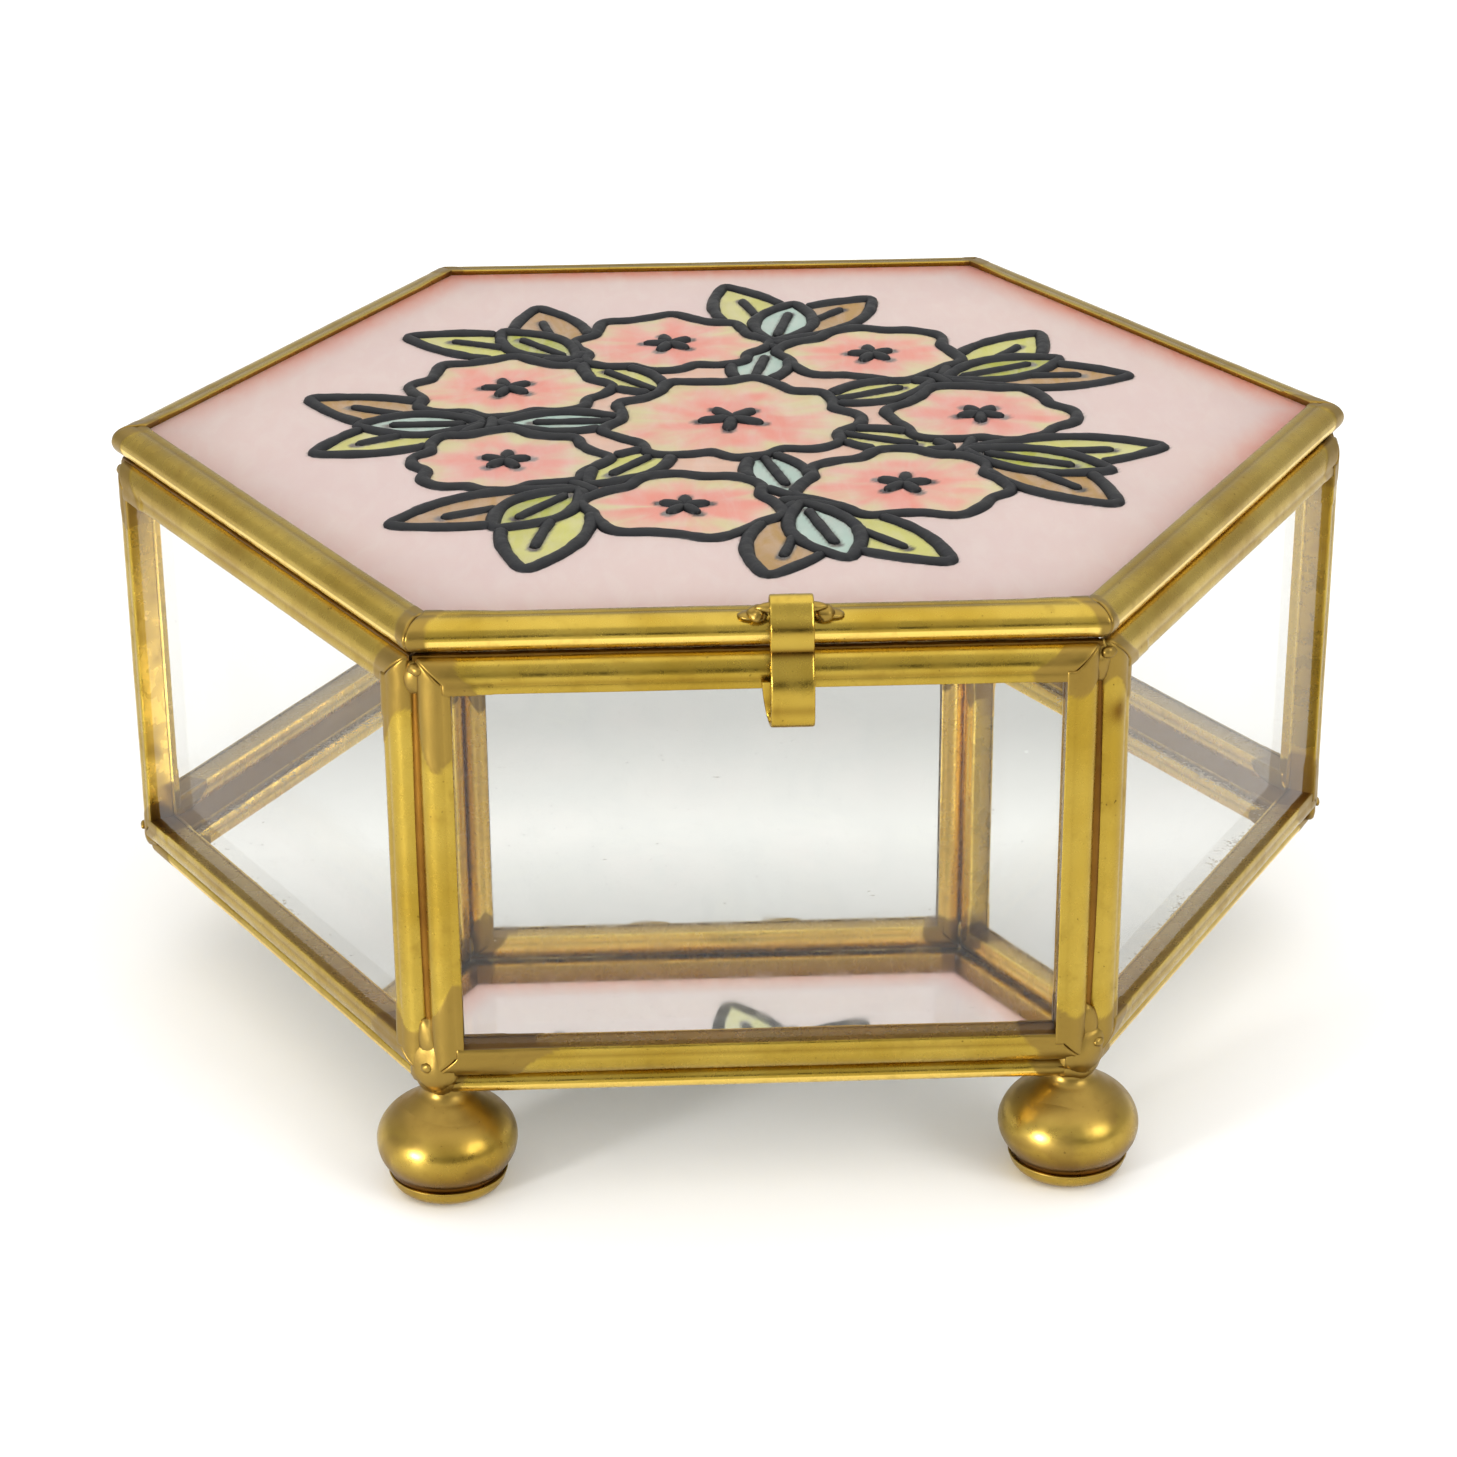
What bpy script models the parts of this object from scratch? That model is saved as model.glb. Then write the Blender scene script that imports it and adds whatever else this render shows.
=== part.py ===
"""Hexagonal glass trinket box with a hinged, painted lid, framed in brass came.

Metres, +Z up. The box stands on its feet at Z = 0, centred on the Z axis, with its clasp at -Y and
its hinge at +Y. Every pane has its own frame of came: a U-shaped brass channel with an arched spine.
"""

import math

import bmesh
import bpy
from mathutils import Matrix, Vector

MM = 0.001
SIDES = 6
STEP = math.tau / SIDES
GAP = 0.3 * MM  # between neighbouring pieces, where the real ones are soldered together

# Plan: the six wall panes stand on the sides of a hexagon
CORNER_RADIUS = 65.6 * MM  # of the hexagon through the middle of the wall panes
WALL_APOTHEM = CORNER_RADIUS * math.cos(STEP / 2)
LID_APOTHEM = 57.9 * MM  # to the outside of the lid's frame
BASE_APOTHEM = 57.0 * MM  # to the outside of the floor's frame

# Came: (depth from spine to lip, thickness, depth of the arched spine, lip thickness, floor of channel)
CAME = (3.4 * MM, 3.2 * MM, 2.2 * MM, 0.35 * MM, 1.2 * MM)
THIN_CAME = (3.4 * MM, 2.6 * MM, 1.8 * MM, 0.3 * MM, 1.0 * MM)
ARCH_STEPS = 10

# Heights
BASE_MIDDLE = 12.45 * MM
WALL_BOTTOM = 13.8 * MM
WALL_TOP = 58.7 * MM
LID_GAP = 0.35 * MM

# Panes
GLASS_THICKNESS = 2.0 * MM
MIRROR_THICKNESS = 1.5 * MM

# Feet: a squashed ball with a neck, and a shallow cap pressed on below it
FOOT_RADIUS_FROM_AXIS = 62.8 * MM
FOOT_CORNERS = {"front_left": 4, "front_right": 5, "back_right": 1, "back_left": 2}
BALL_RADIUS = 7.1 * MM
BALL_HALF_HEIGHT = 5.0 * MM
BALL_HEIGHT = 5.25 * MM
NECK_RADIUS = 1.95 * MM
CAP_RADIUS = 5.9 * MM
CAP_TOP = 2.0 * MM
CAP_RIM = 0.35 * MM
CAP_FLAT_RADIUS = 3.8 * MM
FOOT_FACETS = 32

# Hinge and clasp share one strip thickness and one wire
WIRE_RADIUS = 0.55 * MM
BORE_RADIUS = WIRE_RADIUS + GAP
STRIP = 0.45 * MM
KNUCKLE_RADIUS = BORE_RADIUS + STRIP
HINGE_Y = 60.0 * MM
HINGE_Z = 58.9 * MM
HINGE_KNUCKLE = 7.0 * MM
HINGE_MIDDLE_KNUCKLE = 10.0 * MM
HINGE_LEAF = 2.5 * MM  # from the hinge's axis to the end of a leaf
PIN_HEAD = 0.4 * MM
PIN_HEAD_RADIUS = 0.95 * MM

CLASP_X = 3.0 * MM
CLASP_Y = -57.8 * MM
CLASP_Z = 63.35 * MM
CLASP_WIDTH = 4.2 * MM
STAPLE_SPAN = 6.9 * MM  # between the legs of the wire that the clasp turns on
STAPLE_LEG = 1.3 * MM
STAPLE_BEND = 0.75 * MM
STAPLE_LEAN = math.radians(27.5)  # the legs lean in to meet the rounded rail squarely
ROUND_FACETS = 24

BRASS = ("brass", (0.62, 0.46, 0.12, 1), 0.28, 1.0)
CLEAR = ("clear_glass", (0.9, 0.93, 0.92, 0.25), 0.05, 0.0)
PAINTED = ("painted_glass", (0.86, 0.7, 0.68, 1), 0.35, 0.0)
MIRROR = ("mirror", (0.88, 0.9, 0.9, 1), 0.03, 1.0)


def clear_scene():
    for old in list(bpy.data.objects):
        bpy.data.objects.remove(old)


def material(spec):
    name, colour, roughness, metallic = spec
    found = bpy.data.materials.get(name)
    if found:
        return found
    made = bpy.data.materials.new(name)
    made.use_nodes = True
    shader = made.node_tree.nodes["Principled BSDF"]
    shader.inputs["Base Color"].default_value = colour
    shader.inputs["Roughness"].default_value = roughness
    shader.inputs["Metallic"].default_value = metallic
    shader.inputs["Alpha"].default_value = colour[3]
    made.diffuse_color = colour
    return made


def add(name, mesh, spec, place=Matrix(), parent=None):
    """A named part from a mesh, with its material, put where place says."""
    piece = bpy.data.objects.new(name, mesh)
    parts.objects.link(piece)
    if not mesh.materials:
        mesh.materials.append(material(spec))
    if parent:
        piece.parent = parent
    piece.matrix_world = place
    return piece


def joint_axis(name, place):
    """An empty on a joint's axis: what turns there is parented to it."""
    empty = bpy.data.objects.new(name, None)
    empty.location = place
    parts.objects.link(empty)
    bpy.context.view_layer.update()
    return empty


def extruded(name, outlines, thickness):
    """A plate with the given outlines in XY, the first the rim and the others holes, centred on Z = 0."""
    curve = bpy.data.curves.new(name, "CURVE")
    curve.dimensions = "2D"
    curve.fill_mode = "BOTH"
    curve.extrude = thickness / 2
    for outline in outlines:
        spline = curve.splines.new("POLY")
        spline.points.add(len(outline) - 1)
        for point, (x, y) in zip(spline.points, outline):
            point.co = (x, y, 0, 1)
        spline.use_cyclic_u = True
    return curve_mesh(name, curve)


def curve_mesh(name, curve):
    """The closed mesh of a curve, with its caps welded on."""
    holder = bpy.data.objects.new(name, curve)
    bpy.context.scene.collection.objects.link(holder)
    bpy.context.view_layer.update()
    graph = bpy.context.evaluated_depsgraph_get()
    mesh = bpy.data.meshes.new_from_object(holder.evaluated_get(graph))
    bpy.data.objects.remove(holder)
    shape = bmesh.new()
    shape.from_mesh(mesh)
    bmesh.ops.remove_doubles(shape, verts=shape.verts, dist=0.001 * MM)
    shape.to_mesh(mesh)
    shape.free()
    mesh.shade_smooth()
    mesh.set_sharp_from_angle(angle=math.radians(35))
    mesh.name = name
    return mesh


def turned(name, profile, facets):
    """A solid of revolution about Z: profile holds (radius, height) from the top down."""
    mesh = bpy.data.meshes.new(name)
    points = [(radius, 0, height) for radius, height in profile]
    mesh.from_pydata(points, [(i, i + 1) for i in range(len(points) - 1)], [])
    piece = bpy.data.objects.new(name, mesh)
    bpy.context.scene.collection.objects.link(piece)
    screw = piece.modifiers.new("turn", "SCREW")
    screw.steps = facets
    screw.render_steps = facets
    screw.use_merge_vertices = True
    screw.merge_threshold = 0.005 * MM
    bpy.context.view_layer.update()
    graph = bpy.context.evaluated_depsgraph_get()
    result = bpy.data.meshes.new_from_object(piece.evaluated_get(graph))
    bpy.data.objects.remove(piece)
    result.shade_smooth()
    result.set_sharp_from_angle(angle=math.radians(35))
    result.name = name
    return result


def arc(centre, radius, start, end, count):
    """Points on an arc, or on an ellipse's arc if radius is a pair, from start to end in degrees."""
    across, up = radius if isinstance(radius, tuple) else (radius, radius)
    angles = [math.radians(start + (end - start) * i / (count - 1)) for i in range(count)]
    return [(centre[0] + across * math.cos(a), centre[1] + up * math.sin(a)) for a in angles]


def frame_matrix(origin, along, across):
    """The placement that turns local X to along, local Y to across, and local Z to their normal."""
    along, across = Vector(along), Vector(across)
    turn = Matrix((along, across, along.cross(across))).transposed().to_4x4()
    return Matrix.Translation(origin) @ turn


# Came and panes


def came(name, profile, half_length):
    """A length of came along X. Its spine is at Y = 0, its lips point to +Y, and its thickness is along Z.

    half_length(depth) is half its length at that depth from the spine, so the ends can be mitred.
    """
    depth, thickness, arch, lip, floor = profile
    half = thickness / 2
    spine = arc((arch, 0), (arch, half), 90, 270, ARCH_STEPS + 1)
    inner = half - lip
    channel = [(depth, -half), (depth, -inner), (floor, -inner), (floor, inner), (depth, inner), (depth, half)]
    mesh = extruded(name, [spine + channel], 2 * depth)
    for vertex in mesh.vertices:
        across, up, side = vertex.co
        vertex.co = (math.copysign(half_length(across), side), across, up)
    return mesh


def mitre_gap(angle):
    """How much shorter a mitred end is made for half a gap across the mitre."""
    return GAP / 2 / math.cos(angle)


def hexagon(apothem):
    """The corners of a hexagon with two sides across Y."""
    radius = apothem / math.cos(STEP / 2)
    return [(radius * math.cos(i * STEP), radius * math.sin(i * STEP)) for i in range(SIDES)]


def side_turn(index):
    """The turn that takes the front side to side number index, counted anticlockwise from above."""
    return Matrix.Rotation(index * STEP, 4, "Z")


SIDE_NAMES = ("front", "front_right", "back_right", "back", "back_left", "front_left")


def stile_end():
    """How far a wall pane's frame stays from the corner, so that the arched spines of two frames clear."""
    _, thickness, arch, _, _ = CAME
    reach = math.hypot(arch * math.cos(STEP / 2), thickness / 2 * math.sin(STEP / 2))
    return (reach + GAP / 2) / math.sin(STEP) - arch


def build_walls():
    pane_half = CORNER_RADIUS / 2 - stile_end()
    height_half = (WALL_TOP - WALL_BOTTOM) / 2
    middle = (WALL_TOP + WALL_BOTTOM) / 2
    cut = mitre_gap(math.radians(45))
    rail = came("wall_rail", CAME, lambda depth: pane_half - depth - cut)
    stile = came("wall_stile", CAME, lambda depth: height_half - depth - cut)
    inset = CAME[4] + GAP
    corners = [(-1, -1), (1, -1), (1, 1), (-1, 1)]
    outline = [(x * (pane_half - inset), z * (height_half - inset)) for x, z in corners]
    glass = extruded("wall_glass", [outline], GLASS_THICKNESS)
    centre = Vector((0, -WALL_APOTHEM, middle))
    up, right = Vector((0, 0, 1)), Vector((1, 0, 0))
    for index, name in enumerate(SIDE_NAMES):
        turn = side_turn(index)
        wall = "wall_" + name
        add(wall + "_glass", glass, CLEAR, turn @ frame_matrix(centre, right, up))
        add(wall + "_rail_bottom", rail, BRASS, turn @ frame_matrix(centre - up * height_half, right, up))
        add(wall + "_rail_top", rail, BRASS, turn @ frame_matrix(centre + up * height_half, -right, -up))
        add(wall + "_stile_left", stile, BRASS, turn @ frame_matrix(centre - right * pane_half, -up, right))
        add(wall + "_stile_right", stile, BRASS, turn @ frame_matrix(centre + right * pane_half, up, -right))


def ring_rail(name, profile, apothem):
    """One side of a flat hexagonal frame, mitred at its ends."""
    cut = mitre_gap(STEP / 2)
    return came(name, profile, lambda depth: (apothem - depth) * math.tan(STEP / 2) - cut)


def build_base():
    rail = ring_rail("base_rail", THIN_CAME, BASE_APOTHEM)
    mirror = extruded("mirror", [hexagon(BASE_APOTHEM - THIN_CAME[4] - GAP)], MIRROR_THICKNESS)
    add("base_mirror", mirror, MIRROR, Matrix.Translation((0, 0, BASE_MIDDLE)))
    place = frame_matrix((0, -BASE_APOTHEM, BASE_MIDDLE), (1, 0, 0), (0, 1, 0))
    for index, name in enumerate(SIDE_NAMES):
        add(f"base_rail_{name}", rail, BRASS, side_turn(index) @ place)


def build_lid(axis):
    middle = WALL_TOP + LID_GAP + CAME[1] / 2
    rail = ring_rail("lid_rail", CAME, LID_APOTHEM)
    glass = extruded("lid_glass", [hexagon(LID_APOTHEM - CAME[4] - GAP)], GLASS_THICKNESS)
    add("lid_glass", glass, PAINTED, Matrix.Translation((0, 0, middle)), axis)
    place = frame_matrix((0, -LID_APOTHEM, middle), (1, 0, 0), (0, 1, 0))
    for index, name in enumerate(SIDE_NAMES):
        add(f"lid_rail_{name}", rail, BRASS, side_turn(index) @ place, axis)


# Feet


def build_feet():
    seam = CAP_TOP + GAP
    shoulder = BALL_HEIGHT + BALL_HALF_HEIGHT * math.sqrt(1 - (NECK_RADIUS / BALL_RADIUS) ** 2)
    neck_top = BASE_MIDDLE - THIN_CAME[1] / 2 - GAP
    top_angle = math.degrees(math.asin((shoulder - BALL_HEIGHT) / BALL_HALF_HEIGHT))
    seam_angle = math.degrees(math.asin((seam - BALL_HEIGHT) / BALL_HALF_HEIGHT))
    bulge = arc((0, BALL_HEIGHT), (BALL_RADIUS, BALL_HALF_HEIGHT), top_angle, seam_angle, 15)
    ball = turned("foot_ball", [(0, neck_top), (NECK_RADIUS, neck_top)] + bulge + [(0, seam)], FOOT_FACETS)
    dome_height = CAP_TOP - CAP_RIM
    dome_width = CAP_RADIUS - CAP_FLAT_RADIUS
    dome = arc((CAP_FLAT_RADIUS, dome_height), (dome_width, dome_height), 0, -90, 7)
    cap = turned("foot_cap", [(0, CAP_TOP), (CAP_RADIUS, CAP_TOP)] + dome + [(0, 0)], FOOT_FACETS)
    for name, corner in FOOT_CORNERS.items():
        angle = corner * STEP
        spot = Matrix.Translation(
            (FOOT_RADIUS_FROM_AXIS * math.cos(angle), FOOT_RADIUS_FROM_AXIS * math.sin(angle), 0)
        )
        add(f"foot_ball_{name}", ball, BRASS, spot)
        add(f"foot_cap_{name}", cap, BRASS, spot)


# Hinge


def knuckle(name, length):
    """A barrel along Z with a leaf that hangs from it to -Y, flush with the barrel's side at -X."""
    back = -KNUCKLE_RADIUS
    bend = math.degrees(math.acos((KNUCKLE_RADIUS - STRIP) / KNUCKLE_RADIUS))
    barrel = arc((0, 0), KNUCKLE_RADIUS, -180 + bend, 180, ROUND_FACETS)
    leaf = [(back, -HINGE_LEAF), (back + STRIP, -HINGE_LEAF)]
    bore = arc((0, 0), BORE_RADIUS, 0, 360, ROUND_FACETS)[:-1]
    return extruded(name, [barrel + leaf, bore], length)


def build_hinge(axis):
    outer = knuckle("hinge_knuckle", HINGE_KNUCKLE)
    middle = knuckle("hinge_middle_knuckle", HINGE_MIDDLE_KNUCKLE)
    spot = Vector((0, HINGE_Y, HINGE_Z))
    offset = Vector(((HINGE_MIDDLE_KNUCKLE + HINGE_KNUCKLE) / 2 + GAP, 0, 0))
    out, up = Vector((0, 1, 0)), Vector((0, 0, 1))
    add("hinge_knuckle_left", outer, BRASS, frame_matrix(spot - offset, out, up))
    add("hinge_knuckle_right", outer, BRASS, frame_matrix(spot + offset, out, up))
    add("hinge_knuckle_lid", middle, BRASS, frame_matrix(spot, out, -up), axis)
    shaft = HINGE_MIDDLE_KNUCKLE / 2 + HINGE_KNUCKLE + 2 * GAP
    head = shaft + PIN_HEAD
    profile = [(0, head), (PIN_HEAD_RADIUS, head), (PIN_HEAD_RADIUS, shaft), (WIRE_RADIUS, shaft)]
    profile += [(radius, -height) for radius, height in reversed(profile)]
    pin = turned("hinge_pin", profile, ROUND_FACETS)
    add("hinge_pin", pin, BRASS, frame_matrix(spot, up, out))


# Clasp


def clasp_path():
    """The middle line of the clasp's strip from the side, as (forwards, up) from its wire.

    It is rolled round the wire, bellies over the lid's rail, nips in at the lid's gap,
    bellies over the box's rail and curls back up behind itself.
    """
    eye = KNUCKLE_RADIUS - STRIP / 2
    front = -HINGE_Y - KNUCKLE_RADIUS - CLASP_Y
    curl = 1.02 * MM
    foot_y = front + STRIP / 2 + curl
    foot_z = -10.05 * MM
    roll = arc((0, 0), eye, -62, 180, 16)
    belly = arc((-eye, -2.2 * MM), (1.0 * MM, 1.75 * MM), 118, 232, 8)
    rise = arc((foot_y + 0.12 * MM, -8.6 * MM), (curl + 0.12 * MM, 3.3 * MM), 118, 180, 7)
    hook = arc((foot_y, foot_z), curl, 180, 360, 11)
    return roll + belly + rise + hook + [(foot_y + curl, foot_z + 3.0 * MM)]


def strip_outline(path, thickness):
    """The outline of a strip of even thickness along a path."""
    left, right = [], []
    for i, point in enumerate(path):
        before = Vector(path[max(i - 1, 0)])
        after = Vector(path[min(i + 1, len(path) - 1)])
        normal = (after - before).normalized().orthogonal() * thickness / 2
        left.append(tuple(Vector(point) + normal))
        right.append(tuple(Vector(point) - normal))
    return left + right[::-1]


def build_clasp(lid_axis, clasp_axis):
    strip = extruded("clasp_tab", [strip_outline(clasp_path(), STRIP)], CLASP_WIDTH)
    spot = Vector((CLASP_X, CLASP_Y, CLASP_Z))
    add("clasp_tab", strip, BRASS, frame_matrix(spot, (0, 1, 0), (0, 0, 1)), clasp_axis)
    staple = bpy.data.curves.new("clasp_wire", "CURVE")
    staple.dimensions = "3D"
    staple.bevel_depth = WIRE_RADIUS
    staple.bevel_resolution = 3
    staple.use_fill_caps = True
    half = STAPLE_SPAN / 2
    bend = arc((half - STAPLE_BEND, -STAPLE_BEND), STAPLE_BEND, 0, 90, 5)
    leg = [(half, -STAPLE_LEG)] + bend
    route = leg + [(-x, z) for x, z in reversed(leg)]
    spline = staple.splines.new("POLY")
    spline.points.add(len(route) - 1)
    for point, (x, z) in zip(spline.points, route):
        point.co = (x, 0, z, 1)
    lean = Matrix.Rotation(STAPLE_LEAN, 4, "X")
    add("clasp_wire", curve_mesh("clasp_wire", staple), BRASS, Matrix.Translation(spot) @ lean, lid_axis)


clear_scene()
parts = bpy.data.collections.new("trinket_box")
bpy.context.scene.collection.children.link(parts)
build_walls()
build_base()
build_feet()
hinge_axis = joint_axis("hinge_axis", (0, HINGE_Y, HINGE_Z))
wire_axis = joint_axis("clasp_axis", (CLASP_X, CLASP_Y, CLASP_Z))
build_lid(hinge_axis)
build_hinge(hinge_axis)
build_clasp(hinge_axis, wire_axis)
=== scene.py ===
"""Looks of the hexagonal glass trinket box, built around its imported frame. Metres, +Z up, clasp at -Y."""

import math
import random

import bmesh
import bpy
import numpy as np
from mathutils import Matrix, Vector, kdtree, noise


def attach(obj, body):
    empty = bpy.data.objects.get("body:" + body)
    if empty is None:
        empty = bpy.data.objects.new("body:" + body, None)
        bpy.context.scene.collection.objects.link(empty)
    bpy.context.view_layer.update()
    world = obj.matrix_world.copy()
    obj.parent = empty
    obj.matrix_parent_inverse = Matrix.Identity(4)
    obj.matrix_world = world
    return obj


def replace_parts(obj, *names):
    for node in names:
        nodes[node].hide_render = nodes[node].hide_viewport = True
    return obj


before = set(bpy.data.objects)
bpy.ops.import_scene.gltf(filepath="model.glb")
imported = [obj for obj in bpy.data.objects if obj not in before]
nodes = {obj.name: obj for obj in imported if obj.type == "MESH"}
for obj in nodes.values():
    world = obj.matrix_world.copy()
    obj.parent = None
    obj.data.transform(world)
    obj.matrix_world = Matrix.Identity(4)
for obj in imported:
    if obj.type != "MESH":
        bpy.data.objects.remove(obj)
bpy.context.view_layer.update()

MM = 0.001
SIDES = 6
STEP = math.tau / SIDES
SIDE_NAMES = ("front", "front_right", "back_right", "back", "back_left", "front_left")

# Came: depth from spine to lip, thickness, depth of the arched spine, lip thickness
CAME = (3.4, 3.2, 2.2, 0.35)
THIN_CAME = (3.4, 2.6, 1.8, 0.3)
STILE = (3.15, 3.2, 2.1, 0.35)
LID_CAME = (3.4, 3.42, 2.2, 0.35)
CORNER_RADIUS = 65.6
WALL_APOTHEM = CORNER_RADIUS * math.cos(STEP / 2)
WALL_LOW, WALL_HIGH = 13.8, 58.7
LID_APOTHEM, LID_MIDDLE = 57.9, 60.65
BASE_APOTHEM, BASE_MIDDLE = 57.0, 12.45
FOOT_CORNERS = {"front_left": 4, "front_right": 5, "back_right": 1, "back_left": 2}
FOOT_AXIS = 62.8
LID_GLASS_TOP = 61.65
LID_OPENING = 54.5  # apothem of the hole that the lid's rails leave


def srgb(red, green, blue):
    """A colour from 0 to 255 a channel, as the renderer's linear values."""
    values = [c / 255 for c in (red, green, blue)]
    return [v / 12.92 if v <= 0.04045 else ((v + 0.055) / 1.055) ** 2.4 for v in values] + [1.0]


def smooth_step(x, low, high):
    t = np.clip((x - low) / (high - low), 0, 1)
    return t * t * (3 - 2 * t)


def wave(*where):
    """Smooth noise from -1 to 1 at a place given in millimetres."""
    return noise.noise(Vector(where))


# ---------------------------------------------------------------- materials


class Shade:
    """A material's node tree with short ways to add to it."""

    def __init__(self, name):
        self.material = bpy.data.materials.new(name)
        self.material.use_nodes = True
        self.tree = self.material.node_tree
        self.tree.nodes.clear()
        self.out = self.tree.nodes.new("ShaderNodeOutputMaterial")

    def node(self, kind, **values):
        made = self.tree.nodes.new("ShaderNode" + kind)
        for key, value in values.items():
            setattr(made, key, value)
        return made

    def put(self, socket, value):
        if isinstance(value, bpy.types.NodeSocket):
            self.tree.links.new(value, socket)
        elif value is not None:
            socket.default_value = value

    def math(self, operation, *values, clamp=False):
        made = self.node("Math", operation=operation, use_clamp=clamp)
        for socket, value in zip(made.inputs, values):
            self.put(socket, value)
        return made.outputs[0]

    def coordinates(self, kind="Object", scale=(1, 1, 1)):
        source = self.node("TexCoord").outputs[kind]
        mapping = self.node("Mapping")
        self.put(mapping.inputs["Vector"], source)
        mapping.inputs["Scale"].default_value = scale
        return mapping.outputs[0]

    def noise(self, vector, scale, detail=4.0, rough=0.55, distortion=0.0):
        made = self.node("TexNoise")
        self.put(made.inputs["Vector"], vector)
        made.inputs["Scale"].default_value = scale
        made.inputs["Detail"].default_value = detail
        made.inputs["Roughness"].default_value = rough
        made.inputs["Distortion"].default_value = distortion
        return made.outputs["Fac"]

    def ramp(self, value, low, high, start=0.0, end=1.0):
        made = self.node("MapRange", interpolation_type="SMOOTHSTEP")
        for socket, number in zip(made.inputs, (value, low, high, start, end)):
            self.put(socket, number)
        return made.outputs[0]

    def ramp_line(self, value, start, end):
        return self.math("ADD", self.math("MULTIPLY", value, end - start), start)

    def mix(self, share, first, second):
        made = self.node("Mix", data_type="RGBA")
        for socket, value in zip((made.inputs[0], made.inputs[6], made.inputs[7]), (share, first, second)):
            self.put(socket, value)
        return made.outputs[2]

    def attribute(self, name, output="Fac"):
        return self.node("Attribute", attribute_name=name).outputs[output]

    def bump(self, height, strength, distance, normal=None):
        made = self.node("Bump")
        made.inputs["Strength"].default_value = strength
        made.inputs["Distance"].default_value = distance
        self.put(made.inputs["Height"], height)
        self.put(made.inputs["Normal"], normal)
        return made.outputs[0]

    def principled(self, **values):
        made = self.node("BsdfPrincipled")
        for key, value in values.items():
            self.put(made.inputs[key.replace("_", " ").title().replace("Ior", "IOR")], value)
        return made

    def shader_mix(self, share, first, second):
        made = self.node("MixShader")
        self.put(made.inputs[0], share)
        self.put(made.inputs[1], first)
        self.put(made.inputs[2], second)
        return made.outputs[0]

    def finish(self, shader):
        self.put(self.out.inputs["Surface"], shader)
        return self.material


def brass(name, light, dark, roughness, relief=1.0, stretched=False):
    """Worn brass: mottled and specked, with painted light on one side of each rail, solder, and dirt and
    painted shade where the mesh says so.
    """
    s = Shade(name)
    place = s.coordinates()
    patches = s.noise(place, 70, 3)
    mottle = s.noise(place, 420, 6, 0.62)
    fine = s.noise(place, 2300, 3)
    colour = s.mix(s.ramp(patches, 0.35, 0.68), light, dark)
    # painted light: the inner side of the wall rails and the lower side of the ring rails are painted a
    # brighter brass
    colour = s.mix(s.math("MULTIPLY", s.attribute("kept"), 0.9), colour, srgb(244, 210, 108))
    colour = s.mix(s.ramp(mottle, 0.52, 0.78, 0, 0.36), colour, srgb(128, 98, 36))
    specks = s.math("MULTIPLY", s.ramp(fine, 0.66, 0.74), s.ramp(mottle, 0.48, 0.6))
    colour = s.mix(s.math("MULTIPLY", specks, 0.7), colour, srgb(60, 42, 16))
    solder = s.attribute("solder")
    colour = s.mix(s.math("MULTIPLY", solder, 0.78), colour, srgb(134, 108, 54))
    # darkening toward dark brown: real stains and dark seams, and painted shade in creases, channels, under
    # the lid, low on the feet and in the clasp's bend
    grime = s.attribute("grime")
    colour = s.mix(s.math("MULTIPLY", grime, 0.8, clamp=True), colour, srgb(96, 62, 14))
    rough = s.ramp(mottle, 0.3, 0.75, roughness - 0.05, roughness + 0.12)
    rough = s.math("ADD", rough, s.math("MULTIPLY", solder, 0.1))
    rough = s.math("ADD", rough, s.math("MULTIPLY", specks, 0.25), clamp=True)
    if stretched:
        strip = s.coordinates("UV", (260, 5200, 1))
    else:
        strip = s.coordinates("Object", (900, 900, 2600))
    scratches = s.noise(strip, 1, 3, 0.5)
    normal = s.bump(scratches, 0.07 * relief, 0.00006)
    normal = s.bump(mottle, 0.11 * relief, 0.00012, normal)
    shader = s.principled(base_color=colour, metallic=1.0, roughness=rough, normal=normal)
    return s.finish(shader.outputs[0])


def hexagon_depth(s, apothem):
    """How far a point is inside a hexagon with two sides across Y, in metres, as a socket."""
    place = s.coordinates()
    deepest = None
    for index in range(3):
        axis = s.node("VectorMath", operation="DOT_PRODUCT")
        s.put(axis.inputs[0], place)
        angle = math.radians(90) + index * STEP
        axis.inputs[1].default_value = (math.cos(angle), math.sin(angle), 0)
        reach = s.math("ABSOLUTE", axis.outputs["Value"])
        deepest = reach if deepest is None else s.math("MAXIMUM", deepest, reach)
    return s.math("SUBTRACT", apothem, deepest)


def clear_glass(name, tint):
    """Window glass: clear from any side, mirrors a little, with faint haze, smears and dust."""
    s = Shade(name)
    place = s.coordinates()
    smear = s.noise(place, 55, 5, 0.6, 1.2)
    dust = s.noise(place, 2600, 2)
    clear = s.node("BsdfTransparent")
    clear.inputs["Color"].default_value = tint
    shine = s.node("BsdfGlossy")
    s.put(shine.inputs["Roughness"], s.ramp(smear, 0.35, 0.75, 0.015, 0.11))
    s.put(shine.inputs["Normal"], s.bump(s.noise(place, 24, 2), 0.12, 0.0004))
    facing = s.node("LayerWeight")
    facing.inputs["Blend"].default_value = 0.5
    grazing = s.math("POWER", facing.outputs["Facing"], 5.0)
    pane = s.shader_mix(s.ramp_line(grazing, 0.03, 0.85), clear.outputs[0], shine.outputs[0])
    haze = s.node("BsdfDiffuse")
    haze.inputs["Color"].default_value = srgb(235, 235, 228)
    share = s.math("ADD", s.ramp(smear, 0.45, 0.8, 0.001, 0.014), s.ramp(dust, 0.72, 0.78, 0, 0.25))
    return s.finish(s.shader_mix(share, pane, haze.outputs[0]))


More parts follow.
